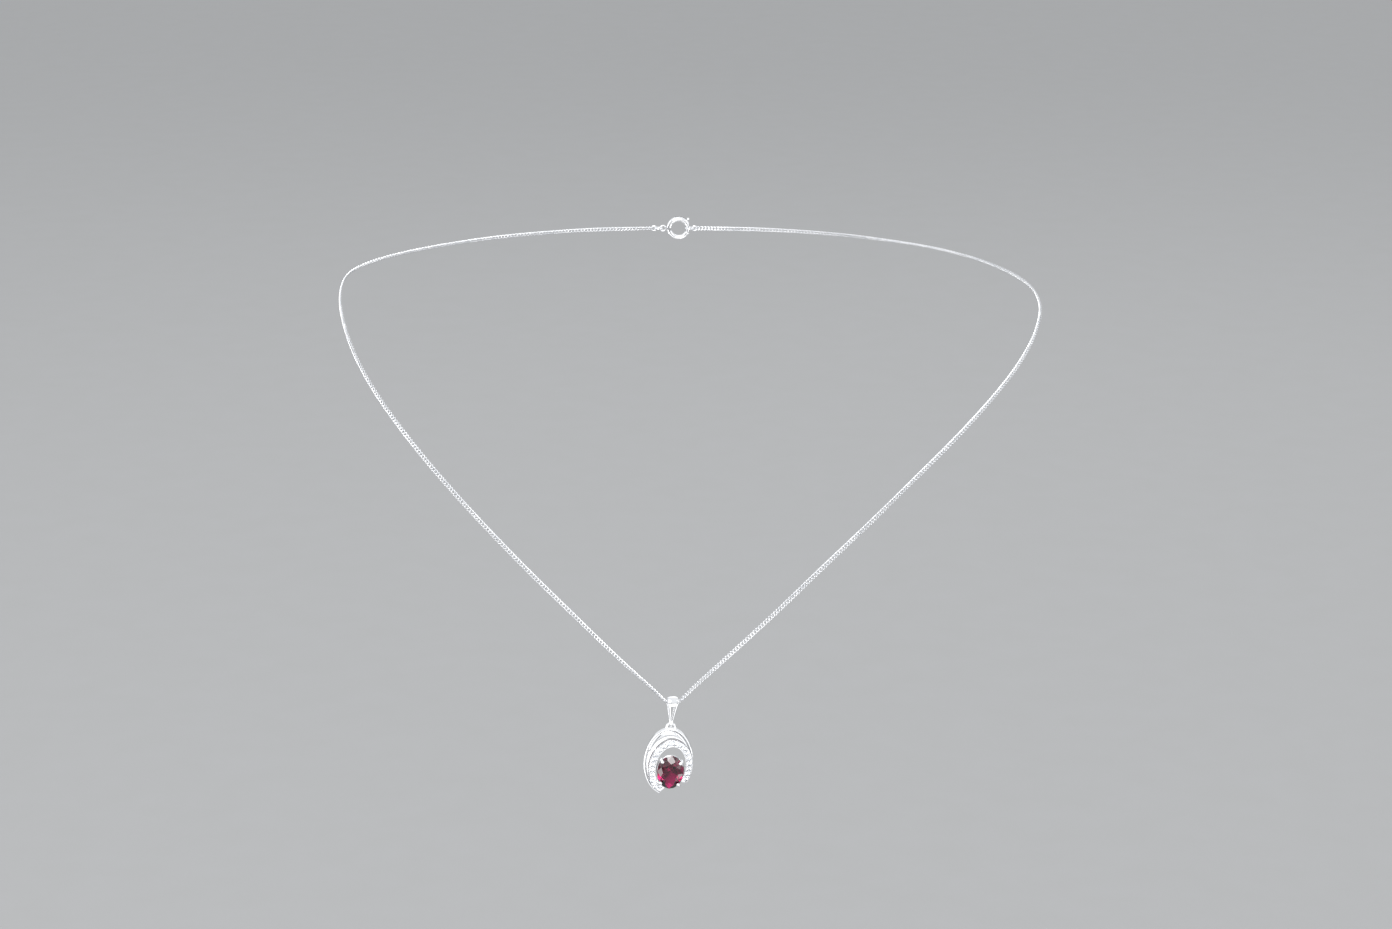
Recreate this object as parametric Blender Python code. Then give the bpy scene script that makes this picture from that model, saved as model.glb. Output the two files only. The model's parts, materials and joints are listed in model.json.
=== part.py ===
"""Pendant necklace: a fine curb chain with a spring-ring clasp, a folded bail, and an open oval
pendant of white metal with a ruby-red oval stone and a row of small white stones.

The frame's origin is the nape, on the chain's line at the clasp. X is the viewer's right, Y points
away from the viewer (so the wearer's front is -Y) and Z is up. The necklace has the shape it takes
when it is worn. Dimensions are in millimetres and angles in degrees until a mesh is made.
"""

import math

import bpy
from mathutils import Matrix, Vector

MM = 0.001

# ---------------------------------------------------------------- driving dimensions

CHAIN_WIDTH = 1.1
CHAIN_POINTS_PER_STRETCH = 2

# The chain's centreline from the clasp round the left shoulder, down to the bail, and back.
CHAIN_ROUTE = [
    (-5.7, 0.0, 0.0),
    (-22.0, -1.3, -0.2),
    (-42.0, -5.2, -1.0),
    (-59.0, -11.7, -2.2),
    (-70.5, -18.8, -3.5),
    (-76.0, -25.2, -4.8),
    (-77.5, -31.0, -6.4),
    (-77.5, -36.2, -9.2),
    (-76.0, -42.7, -13.2),
    (-73.0, -50.0, -18.4),
    (-68.1, -57.8, -24.5),
    (-60.3, -66.3, -32.7),
    (-51.6, -73.2, -41.2),
    (-42.3, -78.6, -50.0),
    (-32.5, -82.6, -59.3),
    (-22.2, -85.3, -69.0),
    (-11.7, -86.7, -79.3),
    (-4.6, -87.0, -86.0),
    (-1.85, -87.0, -88.76),
    (-0.95, -87.0, -89.34),
    (0.0, -87.0, -89.52),
    (0.95, -87.0, -89.34),
    (1.85, -87.0, -88.74),
    (4.6, -87.0, -85.87),
    (11.7, -86.6, -79.2),
    (22.6, -85.1, -69.1),
    (33.1, -82.1, -59.5),
    (43.8, -77.6, -50.4),
    (54.4, -71.5, -41.7),
    (65.0, -63.7, -33.4),
    (74.8, -54.1, -25.5),
    (80.4, -46.7, -20.4),
    (84.4, -38.8, -15.6),
    (86.0, -31.0, -11.3),
    (84.0, -23.8, -8.3),
    (77.0, -16.4, -5.6),
    (64.5, -9.8, -3.1),
    (45.0, -4.3, -1.2),
    (24.0, -1.1, -0.2),
    (5.7, 0.0, 0.0),
]

BAIL_HANG = (0.0, -87.0, -89.35)  # the middle of the bail's top arc, which the bail turns about
BAIL_LENGTH = 5.00  # from there to the centre of the loop's wire
BAIL_LEAN = -0.40  # how far the bail's lower end hangs to the side
BAIL_TURN = 12.0  # about the vertical, seen from above
BAIL_TOP_RADIUS = 1.10  # middle of the sheet round the chain
BAIL_TOP_DOME = 0.22
BAIL_EYE_RADIUS = 0.58
BAIL_SHEET = 0.30
BAIL_EYE_SHEET = 0.40
BAIL_HALF_WIDTH = 1.20
BAIL_LEG_HALF_WIDTH = 1.12  # beside the chain, above the legs' taper
BAIL_TAPER = 0.19  # how much a leg's half width loses for each unit of drop
BAIL_FOOT_HALF_WIDTH = 0.27
BAIL_WINDOW = [(-0.68, -0.50), (0.68, -0.50), (0.14, -4.25), (-0.14, -4.25)]

LOOP_RADIUS = 0.98
LOOP_WIRE = 0.28

# The body sits this far behind the loop's wire, which puts its weight straight below the wire.
PENDANT_SET_BACK = 0.30
BACK = 0.85  # the pendant's flat back, behind its middle plane
RIM_FRONT = -0.72
STRIP_FRONT = -0.85
RIM_WIDTH = 0.42
SLIT = 0.16
FIT = 0.03  # the hairline between two soldered or set pieces
ROW_HALF_WIDTH = 0.80

PAVE_RADIUS = 0.55
PAVE_PITCH = 1.27
PAVE_GIRDLE = -0.74
PAVE_COUNT = 17
TIP_STONE_COUNT = 4
TIP_STONE_RADIUS = 0.46
TIP_STONE_PITCH = 0.74
TIP_STONE_STAGGER = 0.42
TIP_STONE_SHIFT = 0.08
SEAT_PLAY = 0.035

STONE_HALF_WIDTH = 3.0
STONE_HALF_HEIGHT = 4.0
STONE_GIRDLE = -1.70
STONE_CROWN = 0.86
STONE_PAVILION = 2.40
STONE_GIRDLE_THICKNESS = 0.12
STONE_TABLE = 0.58

RAIL_WIRE = 0.25
RAIL_DEPTH = 0.35
CLAW_WIRE = 0.30
CLAW_NECK = 0.33
CLAW_BALL = 0.38
CLAW_NOSE = 0.26
CLAW_ALONG, CLAW_ACROSS = 0.785, 0.620  # a claw's direction from the stone's middle
# Each claw from the rail to its tip: distance from the stone's middle, depth, wire radius.
CLAW_RISE = [
    (3.05, RAIL_DEPTH - RAIL_WIRE - FIT, CLAW_WIRE),
    (3.30, -0.60, CLAW_WIRE),
    (3.66, -1.30, CLAW_WIRE),
    (3.85, -1.75, CLAW_WIRE),
    (3.76, -2.14, CLAW_NECK),
    (3.52, -2.36, CLAW_BALL),
    (3.25, -2.45, CLAW_BALL),
    (3.02, -2.52, CLAW_NOSE),
]

CLASP_CENTRE = 1.05
CLASP_RADIUS = 2.30
CLASP_TUBE = 0.60
CLASP_BORE = 0.42
SLIDER_WIRE = 0.36
SLIDER_TRAVEL = 60.0
# Angles round the clasp, from its mouth's middle. They run down the side that holds the slider.
MOUTH = 26.0  # half the gap in the case
SLIDER_NOSE = 34.0
SLIDER_TAIL = -98.0
KNOB = -44.0
BORE_END = -262.0
KNOB_POST = [(0.10, 0.15), (0.74, 0.15), (0.76, 0.26), (0.88, 0.34), (1.08, 0.34), (1.22, 0.22)]
SLOT_HALF_WIDTH = 0.19
SPRING_TURNS = 13
SPRING_RADIUS = 0.29
SPRING_WIRE = 0.06
JUMP_RADIUS = 0.90
JUMP_WIRE = 0.20
EYE_RADIUS = 0.65
CATCH_RADIUS = 1.00
END_LINK_RADIUS = 0.575
END_LINK_WIRE = 0.175
LINK_PLAY = 0.04

# ---------------------------------------------------------------- plane curves


class Oval:
    """An ellipse in the pendant's plane whose long axis leans to the right of vertical."""

    def __init__(self, centre, long, short, lean):
        self.centre = centre
        self.long = long
        self.short = short
        self.lean = lean

    def grown(self, by):
        return Oval(self.centre, self.long + by, self.short + by, self.lean)

    def point(self, angle):
        """The point at this angle parameter, 0 at the top and clockwise."""
        along = self.long * math.cos(math.radians(angle))
        across = self.short * math.sin(math.radians(angle))
        return self.place(along, across)

    def place(self, along, across):
        sine, cosine = math.sin(math.radians(self.lean)), math.cos(math.radians(self.lean))
        x = self.centre[0] + along * sine + across * cosine
        return x, self.centre[1] + along * cosine - across * sine

    def reach(self, bearing):
        """How far the outline is from HUB in this direction, 0 upward and clockwise."""
        sine, cosine = math.sin(math.radians(self.lean)), math.cos(math.radians(self.lean))

        def scaled(x, z):
            return (x * sine + z * cosine) / self.long, (x * cosine - z * sine) / self.short

        px, pz = scaled(HUB[0] - self.centre[0], HUB[1] - self.centre[1])
        dx, dz = scaled(math.sin(math.radians(bearing)), math.cos(math.radians(bearing)))
        square, half, rest = dx * dx + dz * dz, px * dx + pz * dz, px * px + pz * pz - 1
        return (-half + math.sqrt(half * half - square * rest)) / square


# The pendant's own coordinates start at the centre of the loop's wire: x right, z up.
HUB = (-0.3, -9.9)
OUTLINE = Oval((-0.60, -9.30), 8.05, 5.60, 5.7)
ROW = Oval((-0.04, -10.48), 5.81, 4.14, 11.7)
STONE = Oval((-0.10, -11.30), STONE_HALF_HEIGHT, STONE_HALF_WIDTH, 6.0)
RAIL = Oval((-0.14, -11.32), 3.10, 2.90, 6.0)

TIP_BEARING = -161.0
TIP_INNER_BEARING = -169.0
ARM_BEARING = 146.0
ARM_ROUNDING = 16.0
RIM_END_BEARING = 72.0
CRESCENT_FROM, CRESCENT_TO = -130.0, 52.0


def from_hub(bearing, reach):
    angle = math.radians(bearing)
    return HUB[0] + reach * math.sin(angle), HUB[1] + reach * math.cos(angle)


def smooth(low, high, value):
    """0 below low, 1 above high, and a smooth step between."""
    share = min(1.0, max(0.0, (value - low) / (high - low)))
    return share * share * (3 - 2 * share)


def spread(low, high, count):
    return [low + (high - low) * i / (count - 1) for i in range(count)]


def strip_inner(bearing):
    return ROW.grown(-ROW_HALF_WIDTH).reach(bearing)


def strip_outer(bearing):
    """The pave strip's outer edge: beside the row, out to the rim below the crescent's end, and
    round the end of the right arm."""
    beside_row = min(ROW.grown(ROW_HALF_WIDTH).reach(bearing), OUTLINE.reach(bearing))
    to_rim = OUTLINE.grown(-RIM_WIDTH).reach(bearing) - FIT
    low = 1 - smooth(-143.0, -125.0, bearing)
    reach = beside_row + (to_rim - beside_row) * low
    end = max(0.0, 1 - (ARM_BEARING - bearing) / ARM_ROUNDING)
    return strip_inner(bearing) + (reach - strip_inner(bearing)) * math.sqrt(max(0.02, 1 - end**2))


def rim_inner(bearing):
    inset = OUTLINE.grown(-RIM_WIDTH).reach(bearing)
    if bearing < 0:
        return inset
    return max(inset, ROW.grown(ROW_HALF_WIDTH).reach(bearing) + FIT)


# ---------------------------------------------------------------- making solids


def material(name, colour, roughness, metallic, see_through=0.0):
    made = bpy.data.materials.new(name)
    made.use_nodes = True
    shader = made.node_tree.nodes["Principled BSDF"]
    shader.inputs["Base Color"].default_value = (*colour, 1.0)
    shader.inputs["Roughness"].default_value = roughness
    shader.inputs["Metallic"].default_value = metallic
    shader.inputs["Transmission Weight"].default_value = see_through
    return made


def add(name, points, faces, paint, parent=None, crease=35.0):
    """A mesh object from points in millimetres, its faces turned outward."""
    mesh = bpy.data.meshes.new(name)
    mesh.from_pydata([Vector(p) * MM for p in points], [], faces)
    six_volumes = sum(
        mesh.vertices[f[0]].co.cross(mesh.vertices[f[i]].co).dot(mesh.vertices[f[i + 1]].co)
        for f in faces
        for i in range(1, len(f) - 1)
    )
    if six_volumes < 0:
        mesh.flip_normals()
    mesh.shade_smooth()
    mesh.set_sharp_from_angle(angle=math.radians(crease))
    mesh.materials.append(paint)
    obj = bpy.data.objects.new(name, mesh)
    bpy.context.scene.collection.objects.link(obj)
    obj.parent = parent
    return obj


def loft(name, rings, paint, parent=None, closed=False, crease=35.0):
    """A skin over rings of points, capped at both ends unless it closes on itself."""
    sides = len(rings[0])
    points = [p for ring in rings for p in ring]
    faces = []
    for i in range(len(rings) if closed else len(rings) - 1):
        here, there = i * sides, (i + 1) % len(rings) * sides
        for j in range(sides):
            k = (j + 1) % sides
            faces.append((here + j, here + k, there + k, there + j))
    if not closed:
        faces.append(tuple(range(sides))[::-1])
        faces.append(tuple(range(len(points) - sides, len(points))))
    return add(name, points, faces, paint, parent, crease)


def circle(centre, across, up, radius, sides):
    turns = [2 * math.pi * (j + 0.5) / sides for j in range(sides)]
    return [centre + radius * (across * math.cos(t) + up * math.sin(t)) for t in turns]


def arc_tube(name, centre, radius, wire, plane, start, end, paint, parent=None, steps=24, sides=8):
    """Round wire along an arc. plane is XZ or XY; angles run from +X towards the second axis."""
    second = Vector((0, 0, 1)) if plane == "XZ" else Vector((0, 1, 0))
    side = Vector((1, 0, 0)).cross(second)
    closed = abs(end - start) >= 360
    count = steps if closed else steps + 1
    rings = []
    for i in range(count):
        angle = math.radians(start + (end - start) * i / steps)
        out = Vector((1, 0, 0)) * math.cos(angle) + second * math.sin(angle)
        rings.append(circle(Vector(centre) + out * radius, out, side, wire, sides))
    return loft(name, rings, paint, parent, closed)


def swept(name, path, radii, sides, paint, parent=None):
    """Round wire of changing radius along a path."""
    path = [Vector(p) for p in path]
    rings = []
    up = Vector((1, 0, 0))
    for i, point in enumerate(path):
        ahead = path[min(i + 1, len(path) - 1)] - path[max(i - 1, 0)]
        ahead.normalize()
        up = (up - ahead * up.dot(ahead)).normalized()
        rings.append(circle(point, up, ahead.cross(up), radii[i], sides))
    return loft(name, rings, paint, parent)


def plane_rings(outline, depths):
    return [[(x, depth, z) for x, z in outline] for depth in depths]


def joined(points_and_faces):
    """Several separate closed shapes as one list of points and one of faces."""
    points, faces = [], []
    for shape_points, shape_faces in points_and_faces:
        faces += [tuple(i + len(points) for i in face) for face in shape_faces]
        points += shape_points
    return points, faces


def boolean(target, other, operation="DIFFERENCE"):
    step = target.modifiers.new(operation.lower(), "BOOLEAN")
    step.operation = operation
    step.object = other
    other.hide_render = True
    other.display_type = "WIRE"


def axis_empty(name, place, parent=None):
    empty = bpy.data.objects.new(name, None)
    bpy.context.scene.collection.objects.link(empty)
    empty.parent = parent
    empty.location = Vector(place) * MM
    return empty


# ---------------------------------------------------------------- the chain and its clasp


def curve_through(points, per_stretch):
    """Points along a smooth curve through the given ones, with knots at the root of the spacing."""
    points = [Vector(p) for p in points]
    points = [2 * points[0] - points[1], *points, 2 * points[-1] - points[-2]]
    curve = []
    for i in range(1, len(points) - 2):
        four = points[i - 1 : i + 3]
        knots = [0.0]
        for a, b in zip(four, four[1:]):
            knots.append(knots[-1] + math.sqrt((b - a).length))
        for step in range(per_stretch):
            t = knots[1] + (knots[2] - knots[1]) * step / per_stretch
            level = list(four)
            for width in (1, 2, 3):
                level = [
                    level[j].lerp(level[j + 1], (t - knots[low]) / (knots[low + reach] - knots[low]))
                    for j in range(4 - width)
                    for low, reach in [blend_span(j, width)]
                ]
            curve.append(level[0])
    return [*curve, points[-2]]


def blend_span(index, width):
    """The first knot and the number of knots that a step of the curve's pyramid blends over."""
    if width == 1:
        return index, 1
    if width == 2:
        return index, 2
    return 1, 1


def make_chain(silver):
    data = bpy.data.curves.new("chain", "CURVE")
    data.dimensions = "3D"
    data.bevel_depth = CHAIN_WIDTH / 2 * MM
    data.bevel_resolution = 2
    data.use_fill_caps = True
    points = curve_through(CHAIN_ROUTE, CHAIN_POINTS_PER_STRETCH)
    spline = data.splines.new("POLY")
    spline.points.add(len(points) - 1)
    for target, point in zip(spline.points, points):
        target.co = (*(point * MM), 1.0)
    data.materials.append(silver)
    obj = bpy.data.objects.new("chain", data)
    bpy.context.scene.collection.objects.link(obj)


def linked_to(x, radius, next_radius, wire, next_wire, side):
    """The centre of the next ring along X that hangs in this one, drawn taut."""
    return x + side * (radius + next_radius - wire - next_wire - LINK_PLAY)


def make_chain_ends(silver):
    """The rings and end links on either side of the clasp."""
    wires = {"steps": 20, "sides": 8}
    catch = linked_to(
        CLASP_CENTRE, CLASP_RADIUS, CATCH_RADIUS, SLIDER_WIRE, JUMP_WIRE, 1
    )
    right = linked_to(catch, CATCH_RADIUS, END_LINK_RADIUS, JUMP_WIRE, END_LINK_WIRE, 1)
    eye = eye_centre()
    jump = linked_to(eye, EYE_RADIUS, JUMP_RADIUS, JUMP_WIRE, JUMP_WIRE, -1)
    left = linked_to(jump, JUMP_RADIUS, END_LINK_RADIUS, JUMP_WIRE, END_LINK_WIRE, -1)
    for name, x, radius, wire, plane in (
        ("catch_ring", catch, CATCH_RADIUS, JUMP_WIRE, "XY"),
        ("end_link_right", right, END_LINK_RADIUS, END_LINK_WIRE, "XZ"),
        ("jump_ring", jump, JUMP_RADIUS, JUMP_WIRE, "XY"),
        ("end_link_left", left, END_LINK_RADIUS, END_LINK_WIRE, "XZ"),
    ):
        arc_tube(name, (x, 0, 0), radius, wire, plane, 0, 360, silver, **wires)


def eye_centre():
    return CLASP_CENTRE - CLASP_RADIUS - CLASP_TUBE - EYE_RADIUS - JUMP_WIRE - FIT


def make_clasp(silver, steel):
    """A spring ring: a hollow C-shaped case, a curved slider with a thumb knob, and its spring.
    It hangs with the knob's side up, because the hollow side is the lighter one."""
    centre = (CLASP_CENTRE, 0, 0)
    arm = axis_empty("clasp_axis", (0, 0, 0))
    arm.rotation_euler.x = math.pi
    case = arc_tube(
        "clasp_case", centre, CLASP_RADIUS, CLASP_TUBE, "XZ", MOUTH - 360, -MOUTH, silver, arm, 36, 12
    )
    bore = arc_tube(
        "clasp_bore", centre, CLASP_RADIUS, CLASP_BORE, "XZ", BORE_END, 6 - MOUTH, silver, arm, 30, 12
    )
    pocket = arc_tube(
        "clasp_pocket", centre, CLASP_RADIUS, CLASP_BORE, "XZ", MOUTH - 6, 40, silver, arm, 3, 12
    )
    boolean(case, bore)
    boolean(case, pocket)
    slot_rings = []
    for angle in spread(KNOB + 4, KNOB - SLIDER_TRAVEL - 4, 12):
        out = Vector((math.cos(math.radians(angle)), 0, math.sin(math.radians(angle))))
        side = Vector((0, SLOT_HALF_WIDTH, 0))
        low = Vector(centre) + out * (CLASP_RADIUS + 0.2)
        high = Vector(centre) + out * (CLASP_RADIUS + CLASP_TUBE + 0.2)
        slot_rings.append([low - side, low + side, high + side, high - side])
    boolean(case, loft("clasp_slot", slot_rings, silver, arm))
    arc_tube(
        "clasp_eye", (eye_centre(), 0, 0), EYE_RADIUS, JUMP_WIRE, "XZ", 0, 360, silver, arm, 20, 8
    )

    hinge = axis_empty("slider_axis", centre, arm)
    slider = arc_tube(
        "clasp_slider", (0, 0, 0), CLASP_RADIUS, SLIDER_WIRE, "XZ", SLIDER_NOSE, SLIDER_TAIL,
        silver, hinge, 18, 8,
    )
    out = Vector((math.cos(math.radians(KNOB)), 0, math.sin(math.radians(KNOB))))
    rings = [
        circle(out * (CLASP_RADIUS + height), Vector((0, 1, 0)), out.cross(Vector((0, 1, 0))), r, 10)
        for height, r in KNOB_POST
    ]
    boolean(slider, loft("slider_knob", rings, silver, hinge), "UNION")

    per_turn = 8
    first, last = SLIDER_TAIL - 3, BORE_END + 6
    path = []
    for i in range(SPRING_TURNS * per_turn + 1):
        share = i / (SPRING_TURNS * per_turn)
        angle = math.radians(first + (last - first) * share)
        coil = 2 * math.pi * SPRING_TURNS * share
        out = Vector((math.cos(angle), 0, math.sin(angle)))
        path.append(
            Vector(centre)
            + out * (CLASP_RADIUS + SPRING_RADIUS * math.cos(coil))
            + Vector((0, SPRING_RADIUS * math.sin(coil), 0))
        )
    swept("clasp_spring", path, [SPRING_WIRE] * len(path), 5, steel, arm)


# ---------------------------------------------------------------- the bail


def bail_sections():
    """Stations down the front half of the bail: (y, z, sheet normal, half width, thickness)."""
    slope = math.asin((BAIL_TOP_RADIUS - BAIL_EYE_RADIUS) / (BAIL_LENGTH))
    stations = []
    for angle in spread(math.pi / 2, -slope, 10):
        across, up = math.cos(angle), math.sin(angle)
        y, z = BAIL_TOP_RADIUS * across, BAIL_TOP_RADIUS * up
        stations.append((y, z, across, up))
    first, last = -slope, -math.pi / 2
    for share in spread(0, 1, 8)[1:-1]:
        y0, z0 = BAIL_TOP_RADIUS * math.cos(first), BAIL_TOP_RADIUS * math.sin(first)
        y1, z1 = BAIL_EYE_RADIUS * math.cos(first), BAIL_EYE_RADIUS * math.sin(first) - BAIL_LENGTH
        stations.append(
            (y0 + (y1 - y0) * share, z0 + (z1 - z0) * share, math.cos(first), math.sin(first))
        )
    for angle in spread(first, last, 6):
        across, up = math.cos(angle), math.sin(angle)
        stations.append((BAIL_EYE_RADIUS * across, BAIL_EYE_RADIUS * up - BAIL_LENGTH, across, up))
    return stations


def bail_half_width(z):
    flare = smooth(-1.1, 0.7, z) * (BAIL_HALF_WIDTH - BAIL_LEG_HALF_WIDTH)
    leg = BAIL_LEG_HALF_WIDTH + BAIL_TAPER * min(0.0, z)
    return max(BAIL_FOOT_HALF_WIDTH, leg + flare)


def make_bail(silver):
    """One strip folded over the chain and closed through the loop, pierced by a tall window."""
    axis = axis_empty("bail_axis", BAIL_HANG)
    front = bail_sections()
    back = [(-y, z, -across, up) for y, z, across, up in front[-2:0:-1]]
    rings = []
    for y, z, across, up in front + back:
        low = smooth(-BAIL_LENGTH + 1.2, -BAIL_LENGTH, z)
        half = bail_half_width(z)
        thick = (BAIL_SHEET + (BAIL_EYE_SHEET - BAIL_SHEET) * low) / 2
        ring = []
        for share, face in ((-1, -0.6), (-0.55, -1), (0.55, -1), (1, -0.6), (1, 0.6), (0.55, 1),
                            (-0.55, 1), (-1, 0.6)):
            dome = BAIL_TOP_DOME * max(0.0, up) * (1 - share * share)
            ring.append((half * share, -(y + across * thick * face), z + up * thick * face + dome))
        rings.append(ring)
    turn = Matrix.Rotation(math.radians(BAIL_TURN), 3, "Z")
    rings = [[shifted(turn @ Vector(p)) for p in ring] for ring in rings]
    bail = loft("bail", rings, silver, axis, closed=True)
    rings = [[shifted(turn @ Vector((x, y, z))) for x, z in BAIL_WINDOW] for y in (-2, 2)]
    boolean(bail, loft("bail_window", rings, silver, axis))
    return axis


def shifted(point):
    """The bail leans: each point moves sideways with its depth below the chain."""
    return point + Vector((BAIL_LEAN * min(1.2, max(0.0, -point.z / BAIL_LENGTH)), 0, 0))


# ---------------------------------------------------------------- the pendant


def band(name, bearings, inner_shift, inner, outer, section, paint, parent):
    """A band round the hub: each section point is (share of the width, depth)."""
    rings = []
    for bearing, inner_bearing in zip(bearings, inner_shift):
        near, far = from_hub(inner_bearing, inner(inner_bearing)), from_hub(bearing, outer(bearing))
        rings.append(
            [
                (near[0] + (far[0] - near[0]) * share, depth, near[1] + (far[1] - near[1]) * share)
                for share, depth in section
            ]
        )
    return loft(name, rings, paint, parent)


def make_frame(silver, parent):
    """The rim wire, the polished crescent inside it, and the strip that holds the small stones."""
    bearings = spread(TIP_BEARING, RIM_END_BEARING, 44)
    rim_section = [(0, BACK), (0, -0.55), (0.5, RIM_FRONT), (1, -0.45), (1, 0.65), (0.8, BACK)]
    band("rim_wire", bearings, bearings, rim_inner, OUTLINE.reach, rim_section, silver, parent)

    bearings = spread(CRESCENT_FROM, CRESCENT_TO, 36)

    def crescent_inner(bearing):
        return strip_outer(bearing) + FIT

    def crescent_outer(bearing):
        room = OUTLINE.grown(-RIM_WIDTH - SLIT).reach(bearing) - crescent_inner(bearing)
        return crescent_inner(bearing) + max(0.10, room)

    section = [(0, 0.1), (0, -0.72), (0.22, -1.0), (0.5, -1.12), (0.78, -0.98), (1, -0.62), (1, 0.1)]
    band("crescent", bearings, bearings, crescent_inner, crescent_outer, section, silver, parent)

    outer = spread(TIP_BEARING, ARM_BEARING, 60)
    inner = spread(TIP_INNER_BEARING, ARM_BEARING, 60)
    section = [(0, BACK), (0, STRIP_FRONT), (1, STRIP_FRONT), (1, BACK)]
    strip = band("pave_strip", outer, inner, strip_inner, strip_outer, section, silver, parent)
    seats = []
    across, up = Vector((1, 0, 0)), Vector((0, 0, 1))
    for x, z, stone in pave_places():
        seat = stone + SEAT_PLAY
        steps = ((-1.1, seat), (-0.70, seat), (-0.43, seat / 2), (1.1, seat / 2))
        seats.append(ring_shape([circle(Vector((x, y, z)), across, up, r, 12) for y, r in steps]))
    boolean(strip, add("pave_seats", *joined(seats), silver, parent))


def ring_shape(rings):
    """The points and outward faces of a capped stack of rings that runs towards +Y."""
    sides = len(rings[0])
    points = [p for ring in rings for p in ring]
    faces = [
        (i * sides + j, (i + 1) * sides + j, (i + 1) * sides + (j + 1) % sides, i * sides + (j + 1) % sides)
        for i in range(len(rings) - 1)
        for j in range(sides)
    ]
    faces.append(tuple(range(sides)))
    faces.append(tuple(range(len(points) - sides, len(points)))[::-1])
    return points, faces


def pave_places():
    """The small stones' centres and radii: one row from the arm's end round the opening, then
    smaller ones staggered down to the tip."""
    places = []
    angle = 110.0
    while len(places) < PAVE_COUNT + TIP_STONE_COUNT:
        shift, radius = 0.0, PAVE_RADIUS
        if len(places) >= PAVE_COUNT:
            side = 1 if len(places) % 2 else -1
            shift, radius = TIP_STONE_SHIFT + TIP_STONE_STAGGER * side, TIP_STONE_RADIUS
        places.append((*ROW.grown(shift).point(angle), radius))
        pitch = TIP_STONE_PITCH if len(places) > PAVE_COUNT else PAVE_PITCH
        here, step = Vector((*ROW.point(angle), 0)), 0.0
        while (Vector((*ROW.point(angle - step), 0)) - here).length < pitch:
            step += 0.05
        angle -= step
    return places


def gem(name, oval, girdle, crown, pavilion, edge, sides, paint, parent):
    """A faceted stone, table to the front: a flat table, a sloping crown, a girdle and a point."""
    rings = []
    for depth, share in (
        (girdle - edge / 2 - crown, STONE_TABLE),
        (girdle - edge / 2, 1.0),
        (girdle + edge / 2, 1.0),
        (girdle + edge / 2 + pavilion, 0.03),
    ):
        outline = Oval(oval.centre, oval.long * share, oval.short * share, oval.lean)
        turns = [360 * (j + 0.5) / sides for j in range(sides)]
        rings.append([(x, depth, z) for x, z in map(outline.point, turns)])
    return loft(name, rings, paint, parent, crease=5.0)


def make_setting(silver, parent):
    """The gallery rail in the opening and the four claws that rise from it over the red stone."""
    rings = []
    for turn in spread(0, 360, 37)[:-1]:
        x, z = RAIL.point(turn)
        out = Vector((x - RAIL.centre[0], 0, z - RAIL.centre[1])).normalized()
        rings.append(circle(Vector((x, RAIL_DEPTH, z)), out, Vector((0, 1, 0)), RAIL_WIRE, 8))
    loft("gallery_rail", rings, silver, parent, closed=True)
    for name, up, right in (
        ("claw_upper_left", 1, -1),
        ("claw_upper_right", 1, 1),
        ("claw_lower_right", -1, 1),
        ("claw_lower_left", -1, -1),
    ):
        path = []
        for reach, depth, _ in CLAW_RISE:
            x, z = STONE.place(up * CLAW_ALONG * reach, right * CLAW_ACROSS * reach)
            path.append((x, depth, z))
        swept(name, path, [radius for _, _, radius in CLAW_RISE], 8, silver, parent)


def make_pendant(silver, ruby, white_stone, bail_axis):
    drop = Vector((BAIL_LEAN, 0, -BAIL_LENGTH))
    axis = axis_empty("pendant_axis", drop, bail_axis)
    loop = arc_tube(
        "top_loop", (0, 0, -LOOP_RADIUS), LOOP_RADIUS, LOOP_WIRE, "XZ", -35, 215, silver, axis, 24, 8
    )
    body = axis_empty("pendant_body", (0, PENDANT_SET_BACK, 0), axis)
    outline = [OUTLINE.grown(0.02).point(turn) for turn in spread(0, 360, 61)[:-1]]
    boolean(loop, loft("loop_foot", plane_rings(outline, (-2, 2)), silver, body))
    make_frame(silver, body)
    make_setting(silver, body)
    gem(
        "centre_stone", STONE, STONE_GIRDLE, STONE_CROWN, STONE_PAVILION, STONE_GIRDLE_THICKNESS,
        16, ruby, body,
    )
    for number, (x, z, radius) in enumerate(pave_places(), 1):
        oval = Oval((x, z), radius, radius, 0)
        gem(f"pave_stone_{number:02d}", oval, PAVE_GIRDLE, 0.17, 0.46, 0.04, 10, white_stone, body)


def main():
    for obj in list(bpy.data.objects):
        bpy.data.objects.remove(obj)
    silver = material("rhodium_silver", (0.86, 0.87, 0.88), 0.08, 1.0)
    steel = material("spring_steel", (0.55, 0.56, 0.58), 0.3, 1.0)
    ruby = material("ruby", (0.55, 0.01, 0.10), 0.02, 0.0, 1.0)
    white_stone = material("white_stone", (0.95, 0.97, 1.0), 0.01, 0.0, 1.0)
    make_chain(silver)
    make_chain_ends(silver)
    make_clasp(silver, steel)
    bail_axis = make_bail(silver)
    make_pendant(silver, ruby, white_stone, bail_axis)


main()
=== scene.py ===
"""Pendant necklace: its finished surfaces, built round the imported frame.

The frame's origin is the nape. X is the viewer's right, -Y the wearer's front and Z up. Shapes are
worked out in millimetres and degrees, and become metres when a mesh is made. The pendant's own
coordinates start at the centre of its loop's wire, with X to the right and Z up; a bearing in them
is measured round HUB, 0 upward and clockwise.
"""

import json
import math

import bmesh
import bpy
from mathutils import Matrix, Vector, noise


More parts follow.
